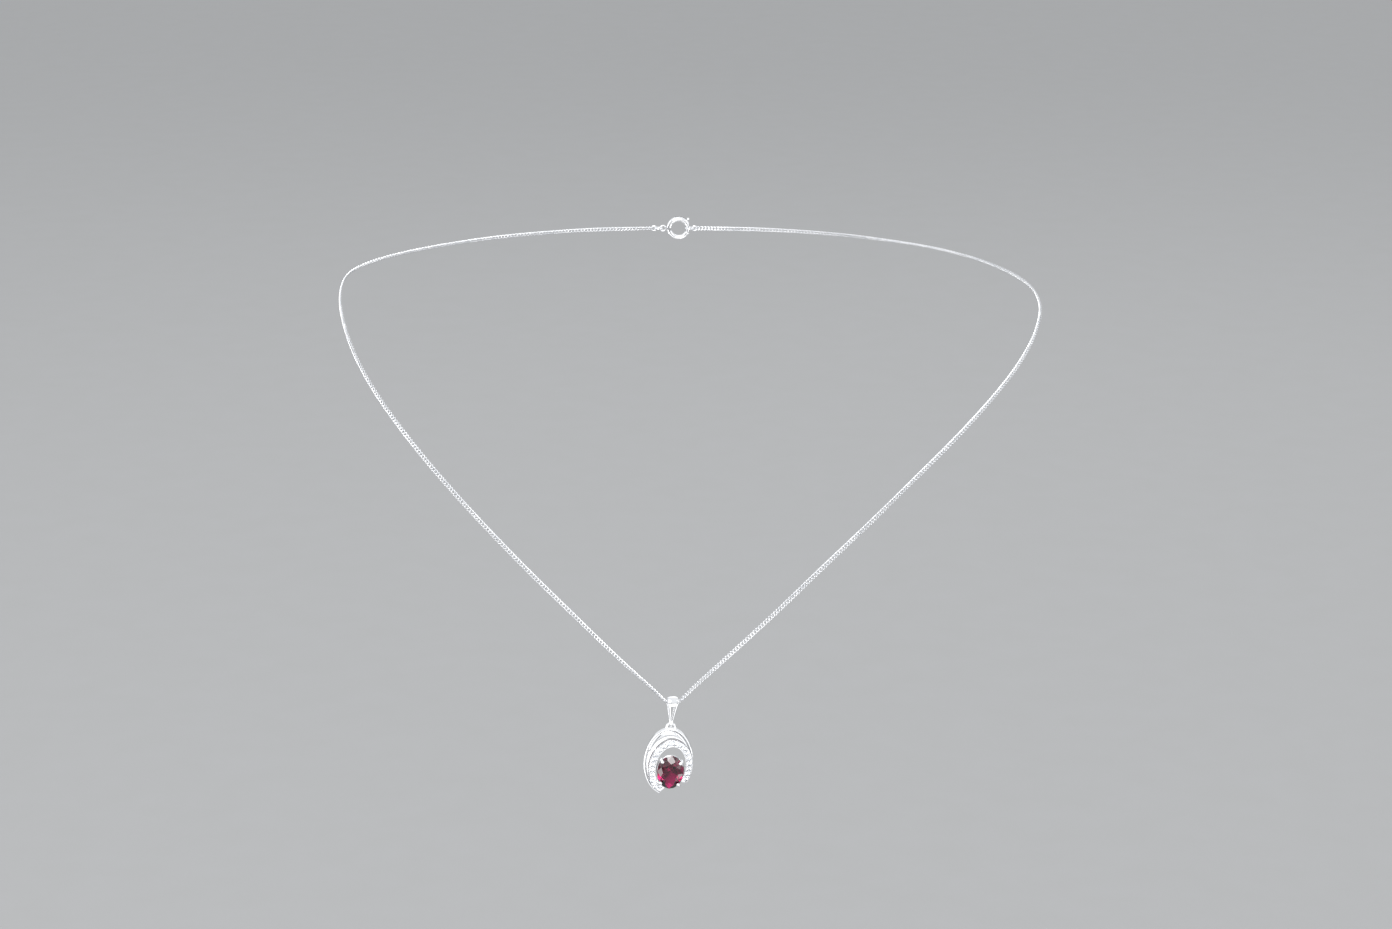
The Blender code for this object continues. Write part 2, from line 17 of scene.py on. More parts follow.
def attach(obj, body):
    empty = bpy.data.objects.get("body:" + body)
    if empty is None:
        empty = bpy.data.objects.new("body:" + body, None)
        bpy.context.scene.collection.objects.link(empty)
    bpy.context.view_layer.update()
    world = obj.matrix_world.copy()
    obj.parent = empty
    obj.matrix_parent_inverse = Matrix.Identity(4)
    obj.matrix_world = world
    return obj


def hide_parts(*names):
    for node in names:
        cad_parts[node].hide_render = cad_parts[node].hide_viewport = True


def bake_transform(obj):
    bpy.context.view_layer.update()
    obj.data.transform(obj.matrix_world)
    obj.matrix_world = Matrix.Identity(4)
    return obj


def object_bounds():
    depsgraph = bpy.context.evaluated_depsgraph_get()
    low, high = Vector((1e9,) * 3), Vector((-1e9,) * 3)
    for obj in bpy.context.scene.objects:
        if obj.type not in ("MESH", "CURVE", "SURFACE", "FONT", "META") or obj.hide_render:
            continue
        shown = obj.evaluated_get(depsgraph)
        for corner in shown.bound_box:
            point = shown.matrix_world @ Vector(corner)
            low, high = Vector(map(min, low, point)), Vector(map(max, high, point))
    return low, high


MM = 0.001

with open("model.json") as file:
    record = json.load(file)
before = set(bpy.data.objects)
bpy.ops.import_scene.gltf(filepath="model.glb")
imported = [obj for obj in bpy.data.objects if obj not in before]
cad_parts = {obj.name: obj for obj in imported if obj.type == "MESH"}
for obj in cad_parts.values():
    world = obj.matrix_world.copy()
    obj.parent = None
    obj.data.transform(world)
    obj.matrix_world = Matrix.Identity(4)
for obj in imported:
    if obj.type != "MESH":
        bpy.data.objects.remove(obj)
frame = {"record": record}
cad_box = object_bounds()
joints = {joint["name"]: joint for joint in frame["record"]["behaviour"]["joints"]}
BAIL_HANG = Vector(joints["bail_swing"]["pos_m"])
LOOP_WIRE_CENTRE = Vector(joints["pendant_swing"]["pos_m"])
NAPE = Vector((0, 0, 0))

# ---------------------------------------------------------------- dimensions
# Most are the CAD model's. The claws' tips (CLAW_RISE and CLAW_BALL) and the knob (KNOB_POST) are
# rounder here, and the CAD model has no BAIL_PLAY and no chain links.

CHAIN_WIDTH = 1.1
CHAIN_ROUTE = [
    (-5.7, 0.0, 0.0),
    (-22.0, -1.3, -0.2),
    (-42.0, -5.2, -1.0),
    (-59.0, -11.7, -2.2),
    (-70.5, -18.8, -3.5),
    (-76.0, -25.2, -4.8),
    (-77.5, -31.0, -6.4),
    (-77.5, -36.2, -9.2),
    (-76.0, -42.7, -13.2),
    (-73.0, -50.0, -18.4),
    (-68.1, -57.8, -24.5),
    (-60.3, -66.3, -32.7),
    (-51.6, -73.2, -41.2),
    (-42.3, -78.6, -50.0),
    (-32.5, -82.6, -59.3),
    (-22.2, -85.3, -69.0),
    (-11.7, -86.7, -79.3),
    (-4.6, -87.0, -86.0),
    (-1.85, -87.0, -88.76),
    (-0.95, -87.0, -89.34),
    (0.0, -87.0, -89.52),
    (0.95, -87.0, -89.34),
    (1.85, -87.0, -88.74),
    (4.6, -87.0, -85.87),
    (11.7, -86.6, -79.2),
    (22.6, -85.1, -69.1),
    (33.1, -82.1, -59.5),
    (43.8, -77.6, -50.4),
    (54.4, -71.5, -41.7),
    (65.0, -63.7, -33.4),
    (74.8, -54.1, -25.5),
    (80.4, -46.7, -20.4),
    (84.4, -38.8, -15.6),
    (86.0, -31.0, -11.3),
    (84.0, -23.8, -8.3),
    (77.0, -16.4, -5.6),
    (64.5, -9.8, -3.1),
    (45.0, -4.3, -1.2),
    (24.0, -1.1, -0.2),
    (5.7, 0.0, 0.0),
]
LINK_WIRE = 0.28
LINK_LENGTH = 1.34
LINK_TWIST = 45.0  # at each end of a link, about the chain's line
LINK_CUT = 0.25  # the chain's faces are ground flat this far from its middle
LINK_STEPS, LINK_SIDES = 22, 7
LINK_OVERHANG = 0.03  # the end links' middles lie just past the route's ends
BAIL_ALONG_CHAIN = 0.478  # as a share of the chain's length

BAIL_LENGTH = 5.00
BAIL_LEAN = -0.40
BAIL_TURN = 12.0
BAIL_TOP_RADIUS = 1.10
BAIL_TOP_DOME = 0.22
BAIL_EYE_RADIUS = 0.58
BAIL_SHEET = 0.30
BAIL_EYE_SHEET = 0.40
BAIL_PLAY = 0.06  # taken off the inside of the sheet here, for the chain and the loop to turn in
BAIL_HALF_WIDTH = 1.20
BAIL_LEG_HALF_WIDTH = 1.12
BAIL_TAPER = 0.19
BAIL_FOOT_HALF_WIDTH = 0.27
BAIL_WINDOW = [(-0.68, -0.50), (0.68, -0.50), (0.14, -4.25), (-0.14, -4.25)]

LOOP_RADIUS = 0.98
LOOP_WIRE = 0.28

PENDANT_SET_BACK = 0.30
BACK = 0.85
RIM_FRONT = -0.72
STRIP_FRONT = -0.85
RIM_WIDTH = 0.42
SLIT = 0.16
FIT = 0.03
ROW_HALF_WIDTH = 0.80

PAVE_RADIUS = 0.55
PAVE_PITCH = 1.27
PAVE_GIRDLE = -0.74
PAVE_COUNT = 17
TIP_STONE_COUNT = 4
TIP_STONE_RADIUS = 0.46
TIP_STONE_PITCH = 0.74
TIP_STONE_STAGGER = 0.42
TIP_STONE_SHIFT = 0.08
SEAT_PLAY = 0.035

STONE_GIRDLE = -1.70
STONE_CROWN = 0.86
STONE_PAVILION = 2.40
STONE_EDGE = 0.12

RAIL_WIRE = 0.25
RAIL_DEPTH = 0.35
CLAW_ALONG, CLAW_ACROSS = 0.785, 0.620
CLAW_BALL = 0.43
CLAW_RISE = [
    (3.05, RAIL_DEPTH - RAIL_WIRE - FIT, 0.30),
    (3.30, -0.60, 0.30),
    (3.66, -1.30, 0.30),
    (3.85, -1.75, 0.30),
    (3.76, -2.14, 0.33),
    (3.52, -2.36, 0.36),
    (3.25, -2.45, 0.36),
]

CLASP_CENTRE = 1.05
CLASP_RADIUS = 2.30
CLASP_TUBE = 0.60
CLASP_BORE = 0.42
SLIDER_WIRE = 0.36
SLIDER_TRAVEL = 60.0
MOUTH = 26.0
SLIDER_NOSE = 34.0
SLIDER_TAIL = -98.0
KNOB = -44.0
BORE_END = -262.0
KNOB_POST = [
    (0.10, 0.15),
    (0.70, 0.15),
    (0.74, 0.22),
    (0.82, 0.31),
    (0.94, 0.35),
    (1.06, 0.34),
    (1.16, 0.27),
    (1.22, 0.15),
    (1.235, 0.04),
]
SLOT_HALF_WIDTH = 0.19
SPRING_TURNS = 13
SPRING_RADIUS = 0.29
SPRING_WIRE = 0.06
JUMP_RADIUS = 0.90
JUMP_WIRE = 0.20
EYE_RADIUS = 0.65
CATCH_RADIUS = 1.00
END_LINK_RADIUS = 0.575
END_LINK_WIRE = 0.175
LINK_PLAY = 0.04

TIP_BEARING = -161.0
TIP_INNER_BEARING = -169.0
ARM_BEARING = 146.0
ARM_ROUNDING = 16.0
RIM_END_BEARING = 72.0
CRESCENT_FROM, CRESCENT_TO = -130.0, 52.0
HUB = (-0.3, -9.9)


class Oval:
    """An ellipse in the pendant's plane whose long axis leans to the right of vertical."""

    def __init__(self, centre, long, short, lean):
        self.centre = centre
        self.long = long
        self.short = short
        self.lean = lean

    def grown(self, by):
        return Oval(self.centre, self.long + by, self.short + by, self.lean)

    def point(self, angle, share=1.0):
        """The point at this angle parameter, 0 at the top and clockwise."""
        along = share * self.long * math.cos(math.radians(angle))
        across = share * self.short * math.sin(math.radians(angle))
        return self.place(along, across)

    def place(self, along, across):
        sine, cosine = math.sin(math.radians(self.lean)), math.cos(math.radians(self.lean))
        x = self.centre[0] + along * sine + across * cosine
        return x, self.centre[1] + along * cosine - across * sine

    def reach(self, bearing):
        """How far the outline is from HUB in this direction."""
        sine, cosine = math.sin(math.radians(self.lean)), math.cos(math.radians(self.lean))

        def scaled(x, z):
            return (x * sine + z * cosine) / self.long, (x * cosine - z * sine) / self.short

        px, pz = scaled(HUB[0] - self.centre[0], HUB[1] - self.centre[1])
        dx, dz = scaled(math.sin(math.radians(bearing)), math.cos(math.radians(bearing)))
        square, half, rest = dx * dx + dz * dz, px * dx + pz * dz, px * px + pz * pz - 1
        return (-half + math.sqrt(half * half - square * rest)) / square


OUTLINE = Oval((-0.60, -9.30), 8.05, 5.60, 5.7)
ROW = Oval((-0.04, -10.48), 5.81, 4.14, 11.7)
STONE = Oval((-0.10, -11.30), 4.0, 3.0, 6.0)
RAIL = Oval((-0.14, -11.32), 3.10, 2.90, 6.0)

# ---------------------------------------------------------------- materials


class Paint:
    """A node material, built up one node at a time. Scales are in repeats per metre."""

    def __init__(self, name):
        self.material = bpy.data.materials.new(name)
        self.material.use_nodes = True
        self.tree = self.material.node_tree
        self.shader = self.tree.nodes["Principled BSDF"]
        self.place = self.node("ShaderNodeTexCoord").outputs["Object"]

    def node(self, kind, settings=(), **inputs):
        made = self.tree.nodes.new(kind)
        for key, value in dict(settings).items():
            setattr(made, key, value)
        for key, value in inputs.items():
            self.set(made, key.replace("_", " "), value)
        return made

    def set(self, node, key, value):
        if isinstance(value, bpy.types.NodeSocket):
            self.tree.links.new(value, node.inputs[key])
        else:
            node.inputs[key].default_value = value

    def look(self, **inputs):
        for key, value in inputs.items():
            self.set(self.shader, key.replace("_", " "), value)

    def stretched(self, scale, turn=(0, 0, 0)):
        made = self.node("ShaderNodeMapping", Vector=self.place, Scale=scale, Rotation=turn)
        return made.outputs[0]

    def cloud(self, scale, detail=3.0, place=None):
        place = place or self.place
        made = self.node("ShaderNodeTexNoise", Vector=place, Scale=scale, Detail=detail)
        return made.outputs["Fac"]

    def along(self, direction):
        made = self.node("ShaderNodeVectorMath", {"operation": "DOT_PRODUCT"})
        self.tree.links.new(self.place, made.inputs[0])
        made.inputs[1].default_value = direction
        return made.outputs["Value"]

    def ranged(self, value, low, high, out_low, out_high):
        made = self.node("ShaderNodeMapRange", Value=value, From_Min=low, From_Max=high)
        made.inputs["To Min"].default_value = out_low
        made.inputs["To Max"].default_value = out_high
        return made.outputs[0]

    def blended(self, share, one, other):
        made = self.node("ShaderNodeMix", {"data_type": "RGBA"})
        self.tree.links.new(share, made.inputs["Factor"])
        # a Mix node has a socket of each name for every type of data: these are the colours
        made.inputs[6].default_value = (*one, 1)
        made.inputs[7].default_value = (*other, 1)
        return made.outputs[2]

    def bumps(self, height, depth, strength=1.0, below=None):
        made = self.node("ShaderNodeBump", Height=height, Distance=depth, Strength=strength)
        if below is not None:
            self.tree.links.new(below, made.inputs["Normal"])
        return made.outputs[0]


def metal(name, bright, dull, smooth_at, rough_at, scratch_depth, wave_depth):
    """Rhodium-plated silver: fine crossed polishing lines, faint handling marks and a soft shift
    of tone."""
    paint = Paint(name)
    tone = paint.ranged(paint.cloud(700, 4), 0.35, 0.65, 0, 1)
    lines = paint.cloud(1, 2, paint.stretched((1500, 26000, 26000), (0.3, 0.2, 0.6)))
    crossed = paint.cloud(1, 2, paint.stretched((24000, 24000, 1800), (0.1, 0.5, 0.2)))
    wear = paint.cloud(2600, 5)
    handled = paint.ranged(wear, 0.42, 0.70, smooth_at, rough_at)
    waves = paint.bumps(paint.cloud(1100, 1), wave_depth)
    first = paint.bumps(lines, scratch_depth, 1.0, waves)
    paint.look(
        Base_Color=paint.blended(tone, bright, dull),
        Metallic=1.0,
        Roughness=handled,
        Normal=paint.bumps(crossed, scratch_depth, 1.0, first),
    )
    return paint.material


def gemstone(name, deep, light, index, shine, cloudiness=None, painted_light_side=None):
    """A clear cut stone. Its colour shifts in clouds of faint silk, or it is painted lighter
    towards one side, as painted light, given a direction and how far along it, in metres, the
    lighter side starts and is full."""
    paint = Paint(name)
    # painted light: the stone's colour is painted lighter towards the given side
    if painted_light_side:
        direction, start, full = painted_light_side
        share = paint.ranged(paint.along(direction), start, full, 0, 1)
    else:
        share = paint.ranged(paint.cloud(cloudiness, 4), 0.38, 0.66, 0, 1)
    rubbed = paint.ranged(paint.cloud(5200, 3), 0.45, 0.8, 0.0, 0.035)
    paint.look(
        Base_Color=paint.blended(share, deep, light),
        Roughness=rubbed,
        IOR=index,
        Specular_IOR_Level=shine,
        Transmission_Weight=1.0,
        Normal=paint.bumps(paint.cloud(9000, 2), 0.0000004),
    )
    return paint.material


def pale_ground(name, tone):
    paint = Paint(name)
    grain = paint.ranged(paint.cloud(60, 5), 0.3, 0.7, 0, 1)
    paint.look(
        Base_Color=paint.blended(grain, (tone, tone, tone * 1.005), (tone * 0.985,) * 3),
        Roughness=paint.ranged(paint.cloud(900, 2), 0.3, 0.7, 0.55, 0.7),
        Specular_IOR_Level=0.0,
        Normal=paint.bumps(paint.cloud(1800, 2), 0.00004),
    )
    return paint.material


def plain(name, colour):
    paint = Paint(name)
    paint.look(Base_Color=(*colour, 1), Roughness=0.9)
    return paint.material


# Each metal has a bright and a dull colour, its least and its greatest roughness, and the depths in
# metres of its scratches and of its waves.
polished = metal("polished_silver", (0.93, 0.93, 0.94), (0.86, 0.865, 0.88), 0.05, 0.13, 6e-7, 3e-6)
wire_metal = metal("wire_silver", (0.90, 0.90, 0.91), (0.80, 0.81, 0.83), 0.09, 0.20, 1.2e-6, 5e-6)
link_metal = metal("link_silver", (0.90, 0.90, 0.91), (0.76, 0.77, 0.79), 0.10, 0.24, 1.5e-6, 4e-6)
grain_metal = metal("setting_silver", (0.88, 0.885, 0.9), (0.70, 0.71, 0.73), 0.1, 0.24, 2e-6, 8e-6)
steel = metal("spring_steel", (0.62, 0.62, 0.63), (0.46, 0.46, 0.48), 0.22, 0.38, 2e-6, 3e-6)
# painted light: the red stone is painted lighter towards the lower right
PAINTED_LIGHT_LOWER_RIGHT = (0.6, 0, -0.8)
ruby = gemstone(
    "red_stone",
    (0.04, 0.0002, 0.006),
    (0.42, 0.001, 0.10),
    index=1.76,
    shine=0.6,
    painted_light_side=(PAINTED_LIGHT_LOWER_RIGHT, 0.0830, 0.0872),
)
white_stone = gemstone(
    "white_stone", (0.96, 0.975, 1.0), (0.88, 0.91, 0.96), index=2.15, shine=0.5, cloudiness=900
)

# ---------------------------------------------------------------- making pieces


def spread(low, high, count):
    return [low + (high - low) * i / (count - 1) for i in range(count)]


def smooth(low, high, value):
    """0 below low, 1 above high, and a smooth step between."""
    share = min(1.0, max(0.0, (value - low) / (high - low)))
    return share * share * (3 - 2 * share)


def solid(name, points, faces, paint, origin=NAPE, crease=40.0, flip=True):
    """A mesh object from points in millimetres round origin, its faces turned outward."""
    mesh = bpy.data.meshes.new(name)
    mesh.from_pydata([origin + Vector(p) * MM for p in points], [], faces)
    if flip:
        volume = sum(
            mesh.vertices[f[0]].co.cross(mesh.vertices[f[i]].co).dot(mesh.vertices[f[i + 1]].co)
            for f in faces
            for i in range(1, len(f) - 1)
        )
        if volume < 0:
            mesh.flip_normals()
    mesh.shade_smooth()
    mesh.set_sharp_from_angle(angle=math.radians(crease))
    mesh.materials.append(paint)
    obj = bpy.data.objects.new(name, mesh)
    bpy.context.scene.collection.objects.link(obj)
    return obj


def skin(rings, closed=False):
    """Points and faces of a skin over rings of points, capped unless it closes on itself."""
    sides = len(rings[0])
    points = [p for ring in rings for p in ring]
    faces = []
    for i in range(len(rings) if closed else len(rings) - 1):
        here, there = i * sides, (i + 1) % len(rings) * sides
        for j in range(sides):
            k = (j + 1) % sides
            faces.append((here + j, here + k, there + k, there + j))
    if not closed:
        faces.append(tuple(range(sides))[::-1])
        faces.append(tuple(range(len(points) - sides, len(points))))
    return points, faces


def joined(shapes):
    points, faces = [], []
    for shape_points, shape_faces in shapes:
        faces += [tuple(i + len(points) for i in face) for face in shape_faces]
        points += shape_points
    return points, faces


def circle(centre, across, up, radius, sides):
    turns = [2 * math.pi * (j + 0.5) / sides for j in range(sides)]
    return [centre + radius * (across * math.cos(t) + up * math.sin(t)) for t in turns]


def arc_wire(centre, radius, wire, plane, start, end, steps, sides):
    """Round wire along an arc. plane is XZ or XY; angles run from +X towards the second axis."""
    second = Vector((0, 0, 1)) if plane == "XZ" else Vector((0, 1, 0))
    side = Vector((1, 0, 0)).cross(second)
    closed = abs(end - start) >= 360
    rings = []
    for i in range(steps if closed else steps + 1):
        angle = math.radians(start + (end - start) * i / steps)
        out = Vector((1, 0, 0)) * math.cos(angle) + second * math.sin(angle)
        rings.append(circle(Vector(centre) + out * radius, out, side, wire, sides))
    return skin(rings, closed)


def wire_along(path, radii, sides):
    path = [Vector(p) for p in path]
    rings = []
    up = Vector((1, 0, 0))
    for i, point in enumerate(path):
        ahead = (path[min(i + 1, len(path) - 1)] - path[max(i - 1, 0)]).normalized()
        up = (up - ahead * up.dot(ahead)).normalized()
        rings.append(circle(point, up, ahead.cross(up), radii[i], sides))
    return skin(rings)


def ball(centre, radii, rows, sides):
    rings = []
    for polar in spread(0.06, math.pi - 0.06, rows):
        ring = []
        for j in range(sides):
            turn = 2 * math.pi * j / sides
            x = radii[0] * math.sin(polar) * math.cos(turn)
            z = radii[2] * math.sin(polar) * math.sin(turn)
            ring.append(Vector(centre) + Vector((x, radii[1] * math.cos(polar), z)))
        rings.append(ring)
    return skin(rings)


def in_triangles(obj):
    """Triangles are flat to the last digit, which the cuts rely on."""
    mesh = bmesh.new()
    mesh.from_mesh(obj.data)
    bmesh.ops.triangulate(mesh, faces=mesh.faces)
    mesh.to_mesh(obj.data)
    mesh.free()


def worked(target, tool, operation="DIFFERENCE"):
    """Cuts or joins another solid into this one for good."""
    in_triangles(target)
    in_triangles(tool)
    step = target.modifiers.new(operation.lower(), "BOOLEAN")
    step.operation = operation
    step.object = tool
    graph = bpy.context.evaluated_depsgraph_get()
    mesh = bpy.data.meshes.new_from_object(target.evaluated_get(graph))
    target.modifiers.clear()
    target.data = mesh
    bpy.data.objects.remove(tool)


def finished(obj, body, slot, *nodes):
    """Hangs a piece on its body and lets it stand for its CAD nodes."""
    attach(obj, body)
    if nodes:
        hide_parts(*nodes)


def curve_through(points, per_stretch):
    """Points along a smooth curve through the given ones, with knots at the root of the spacing.
    Each point comes from four of them, blended pairwise three times."""
    points = [Vector(p) for p in points]
    points = [2 * points[0] - points[1], *points, 2 * points[-1] - points[-2]]
    curve = []
    for i in range(1, len(points) - 2):
        four = points[i - 1 : i + 3]
        knots = [0.0]
        for a, b in zip(four, four[1:]):
            knots.append(knots[-1] + math.sqrt((b - a).length))
        for step in range(per_stretch):
            t = knots[1] + (knots[2] - knots[1]) * step / per_stretch
            level = list(four)
            for width in (1, 2, 3):
                blended = []
                for j in range(4 - width):
                    low, high = (1, 2) if width == 3 else (j, j + width)
                    share = (t - knots[low]) / (knots[high] - knots[low])
                    blended.append(level[j].lerp(level[j + 1], share))
                level = blended
            curve.append(level[0])
    return [*curve, points[-2]]


# ---------------------------------------------------------------- camera

camera_data = bpy.data.cameras.new("camera")
camera_data.sensor_width = 36
camera_data.lens = 85
camera_data.clip_start = 0.02
camera_data.clip_end = 30
camera = bpy.data.objects.new("camera", camera_data)
camera.location = (0.0052875, -0.7789, 0.17824)
camera.rotation_euler = (math.radians(90 - 17), 0, 0)
bpy.context.scene.collection.objects.link(camera)
bpy.context.scene.camera = camera

# ---------------------------------------------------------------- the chain


class Route:
    """The chain's centreline, asked by distance from its left end."""

    def __init__(self, points):
        self.points = points
        self.along = [0.0]
        for a, b in zip(points, points[1:]):
            self.along.append(self.along[-1] + (b - a).length)
        self.length = self.along[-1]

    def at(self, distance):
        low, high = 0, len(self.along) - 2
        while low < high:
            middle = (low + high + 1) // 2
            low, high = (middle, high) if self.along[middle] <= distance else (low, middle - 1)
        share = (distance - self.along[low]) / (self.along[low + 1] - self.along[low])
        return self.points[low].lerp(self.points[low + 1], share)


def link_roll(distance, length):
    """How far the chain is turned about its own line, in degrees: it wanders a little, lies on edge
    where it drops to the bail, and meets each end link square."""
    slow = 16 * noise.noise(Vector((distance / 17, 0.3, 0)))
    quick = 5 * noise.noise(Vector((distance / 3.1, 7.1, 0)))
    square = 45 * (math.exp(-(length - distance) / 8) - math.exp(-distance / 8))
    from_bail = distance - length * BAIL_ALONG_CHAIN
    on_edge = 48 * math.exp(-((from_bail / 16) ** 2))
    return slow + quick + square + on_edge


def link_points(centre, ahead, across, up):
    """One link: an oval of round wire that twists along its length, with its faces ground flat."""
    half_length, half_width = (LINK_LENGTH - LINK_WIRE) / 2, (CHAIN_WIDTH - LINK_WIRE) / 2
    straight = half_length - half_width
    points = []
    for i in range(LINK_STEPS):
        turn = 2 * math.pi * i / LINK_STEPS
        shift = straight if math.cos(turn) > 0 else -straight
        x, w = half_width * math.cos(turn) + shift, half_width * math.sin(turn)
        out = Vector((math.cos(turn), math.sin(turn)))
        for j in range(LINK_SIDES):
            angle = 2 * math.pi * j / LINK_SIDES
            lx = x + LINK_WIRE / 2 * math.cos(angle) * out[0]
            lw = w + LINK_WIRE / 2 * math.cos(angle) * out[1]
            ln = LINK_WIRE / 2 * math.sin(angle)
            twist = math.radians(LINK_TWIST) * lx / half_length
            w2 = lw * math.cos(twist) - ln * math.sin(twist)
            n2 = lw * math.sin(twist) + ln * math.cos(twist)
            n2 = max(-LINK_CUT, min(LINK_CUT, n2))
            points.append(centre + ahead * lx + across * w2 + up * n2)
    return points


def make_chain():
    route = Route(curve_through(CHAIN_ROUTE, 12))
    reach = route.length + 2 * LINK_OVERHANG
    count = round(reach / (LINK_LENGTH - 2 * LINK_WIRE)) + 1
    pitch = reach / (count - 1)
    link_faces = []
    for i in range(LINK_STEPS):
        for j in range(LINK_SIDES):
            a, b = i * LINK_SIDES, (i + 1) % LINK_STEPS * LINK_SIDES
            k = (j + 1) % LINK_SIDES
            link_faces.append((a + j, b + j, b + k, a + k))
    points, faces = [], []
    for number in range(count):
        distance = number * pitch - LINK_OVERHANG
        here = route.at(distance)
        ahead = (route.at(distance + 0.5) - route.at(distance - 0.5)).normalized()
        away = Vector((here.x, here.y + 25, 0)).normalized()
        away.z = 0.55 * min(1.0, abs(here.x) / 60)
        roll = Matrix.Rotation(math.radians(link_roll(distance, route.length)), 3, ahead)
        up = roll @ (away - ahead * away.dot(ahead)).normalized()
        faces += [tuple(i + len(points) for i in face) for face in link_faces]
        points += link_points(here, ahead, up.cross(ahead), up)
    chain = solid("curb_chain", points, faces, link_metal, crease=50, flip=False)
    finished(chain, "chain", "silver", "chain")


# ---------------------------------------------------------------- the clasp


def linked_to(x, radius, next_radius, wire, next_wire, side):
    """The centre of the next ring along X that hangs in this one, drawn taut."""
    return x + side * (radius + next_radius - wire - next_wire - LINK_PLAY)


def upside_down(shape):
    """The clasp hangs with its knob's side up."""
    points, faces = shape
    return [(p[0], -p[1], -p[2]) for p in points], faces


def make_clasp():
    eye = CLASP_CENTRE - CLASP_RADIUS - CLASP_TUBE - EYE_RADIUS - JUMP_WIRE - FIT
    catch = linked_to(CLASP_CENTRE, CLASP_RADIUS, CATCH_RADIUS, SLIDER_WIRE, JUMP_WIRE, 1)
    right = linked_to(catch, CATCH_RADIUS, END_LINK_RADIUS, JUMP_WIRE, END_LINK_WIRE, 1)
    jump = linked_to(eye, EYE_RADIUS, JUMP_RADIUS, JUMP_WIRE, JUMP_WIRE, -1)
    left = linked_to(jump, JUMP_RADIUS, END_LINK_RADIUS, JUMP_WIRE, END_LINK_WIRE, -1)
    seam = 3.0  # half the hairline in a ring that is closed but not soldered
    for name, node, x, radius, wire, plane, gap in (
        ("catch_wire", "catch_ring", catch, CATCH_RADIUS, JUMP_WIRE, "XY", 0),
        ("end_wire_right", "end_link_right", right, END_LINK_RADIUS, END_LINK_WIRE, "XZ", 0),
        ("jump_wire", "jump_ring", jump, JUMP_RADIUS, JUMP_WIRE, "XY", seam),
        ("end_wire_left", "end_link_left", left, END_LINK_RADIUS, END_LINK_WIRE, "XZ", 0),
    ):
        ring = arc_wire((x, 0, 0), radius, wire, plane, 90 + gap, 450 - gap, 64, 18)
        finished(solid(name, *ring, wire_metal), "chain", "silver", node)

    centre = (CLASP_CENTRE, 0, 0)
    tube = arc_wire(centre, CLASP_RADIUS, CLASP_TUBE, "XZ", MOUTH - 360, -MOUTH, 108, 28)
    case = solid("case_tube", *upside_down(tube), polished)
    for start, end in ((BORE_END, 6 - MOUTH), (MOUTH - 6, 40)):
        bore = arc_wire(centre, CLASP_RADIUS, CLASP_BORE, "XZ", start, end, 80, 24)
        worked(case, solid("bore", *upside_down(bore), polished))
    slot = []
    for angle in spread(KNOB + 4, KNOB - SLIDER_TRAVEL - 4, 30):
        out = Vector((math.cos(math.radians(angle)), 0, math.sin(math.radians(angle))))
        side = Vector((0, SLOT_HALF_WIDTH, 0))
        low = Vector(centre) + out * (CLASP_RADIUS + 0.2)
        high = Vector(centre) + out * (CLASP_RADIUS + CLASP_TUBE + 0.2)
        slot.append([low - side, low + side, high + side, high - side])
    worked(case, solid("slot", *upside_down(skin(slot)), polished))
    case.data.set_sharp_from_angle(angle=math.radians(40))
    finished(case, "clasp", "silver", "clasp_case")
    ring = arc_wire((eye, 0, 0), EYE_RADIUS, JUMP_WIRE, "XZ", 0, 360, 64, 18)
    finished(solid("eye_wire", *ring, wire_metal), "clasp", "silver", "clasp_eye")

    rod = arc_wire(centre, CLASP_RADIUS, SLIDER_WIRE, "XZ", SLIDER_NOSE, SLIDER_TAIL, 60, 24)
    slider = solid("slider_rod", *upside_down(rod), polished)
    out = Vector((math.cos(math.radians(KNOB)), 0, math.sin(math.radians(KNOB))))
    across = Vector((0, 1, 0))
    knob = []
    for height, radius in KNOB_POST:
        middle = Vector(centre) + out * (CLASP_RADIUS + height)
        knob.append(circle(middle, across, out.cross(across), radius, 24))
    worked(slider, solid("knob", *upside_down(skin(knob)), polished), "UNION")
    slider.data.set_sharp_from_angle(angle=math.radians(40))
    finished(slider, "slider", "silver", "clasp_slider")

    make_spring(Vector(centre))


def make_spring(centre):
    """The coil behind the slider. It rides between the case and the slider."""
    per_turn = 20
    first, last = SLIDER_TAIL - 3, BORE_END + 6
    path = []
    for i in range(SPRING_TURNS * per_turn + 1):
        share = i / (SPRING_TURNS * per_turn)
        angle = math.radians(first + (last - first) * share)
        turn = 2 * math.pi * SPRING_TURNS * share
        out = Vector((math.cos(angle), 0, math.sin(angle)))
        side = Vector((0, SPRING_RADIUS * math.sin(turn), 0))
        path.append(centre + out * (CLASP_RADIUS + SPRING_RADIUS * math.cos(turn)) + side)
    coil = wire_along(path, [SPRING_WIRE] * len(path), 8)
    spring = solid("spring_coil", *upside_down(coil), steel)
    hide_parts("clasp_spring")
    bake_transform(spring)


# ---------------------------------------------------------------- the bail


